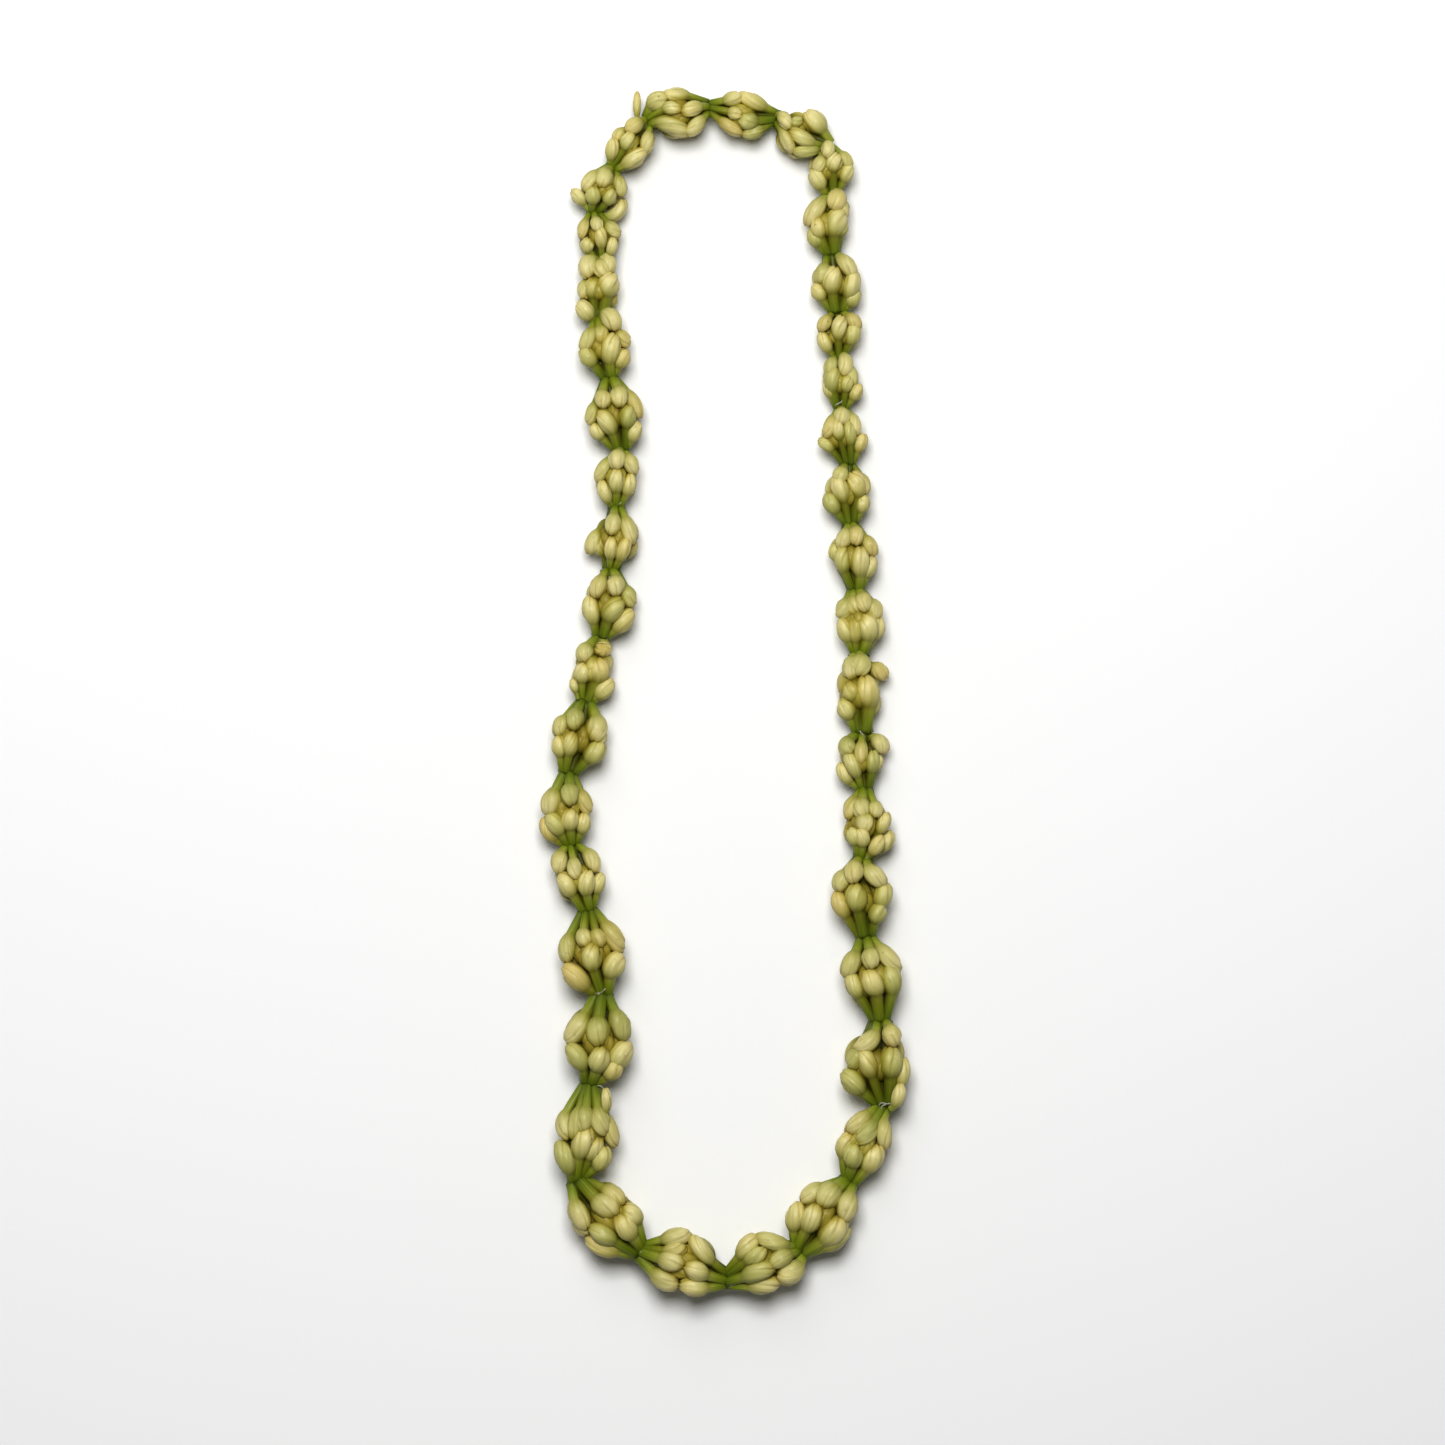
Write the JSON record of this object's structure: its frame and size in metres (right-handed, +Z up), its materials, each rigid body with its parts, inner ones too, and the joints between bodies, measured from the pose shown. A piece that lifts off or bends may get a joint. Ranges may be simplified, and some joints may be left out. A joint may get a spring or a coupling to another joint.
{
  "type": "jasmine garland",
  "caption": "Closed garland of jasmine bud bunches tied one after another on a thread, lying flat as a long loop.",
  "frame": {"origin": "on the surface the garland lies on, under the middle of its outline", "axes": "+Y along the loop's long way, towards its narrow end of small bunches; +Z up from the surface"},
  "size_m": [0.1564, 0.5088, 0.0273],
  "materials": {
    "buds": "waxy, slightly moist",
    "thread": "plain twisted cotton"
  },
  "bodies": {
    "root": {"bunch_00": "buds", "bunch_01": "buds", "bunch_02": "buds", "bunch_03": "buds", "bunch_04": "buds", "bunch_05": "buds", "bunch_06": "buds", "bunch_07": "buds", "bunch_08": "buds", "bunch_09": "buds", "bunch_10": "buds", "bunch_11": "buds", "bunch_12": "buds", "bunch_13": "buds", "bunch_14": "buds", "bunch_15": "buds", "bunch_16": "buds", "bunch_17": "buds", "bunch_18": "buds", "bunch_19": "buds", "bunch_20": "buds", "bunch_21": "buds", "bunch_22": "buds", "bunch_23": "buds", "bunch_24": "buds", "bunch_25": "buds", "bunch_26": "buds", "bunch_27": "buds", "bunch_28": "buds", "bunch_29": "buds", "bunch_30": "buds", "bunch_31": "buds", "bunch_32": "buds", "bunch_33": "buds", "bunch_34": "buds", "bunch_35": "buds", "bunch_36": "buds", "bunch_37": "buds", "bunch_38": "buds", "thread": "thread"}
  },
  "joints": []
}
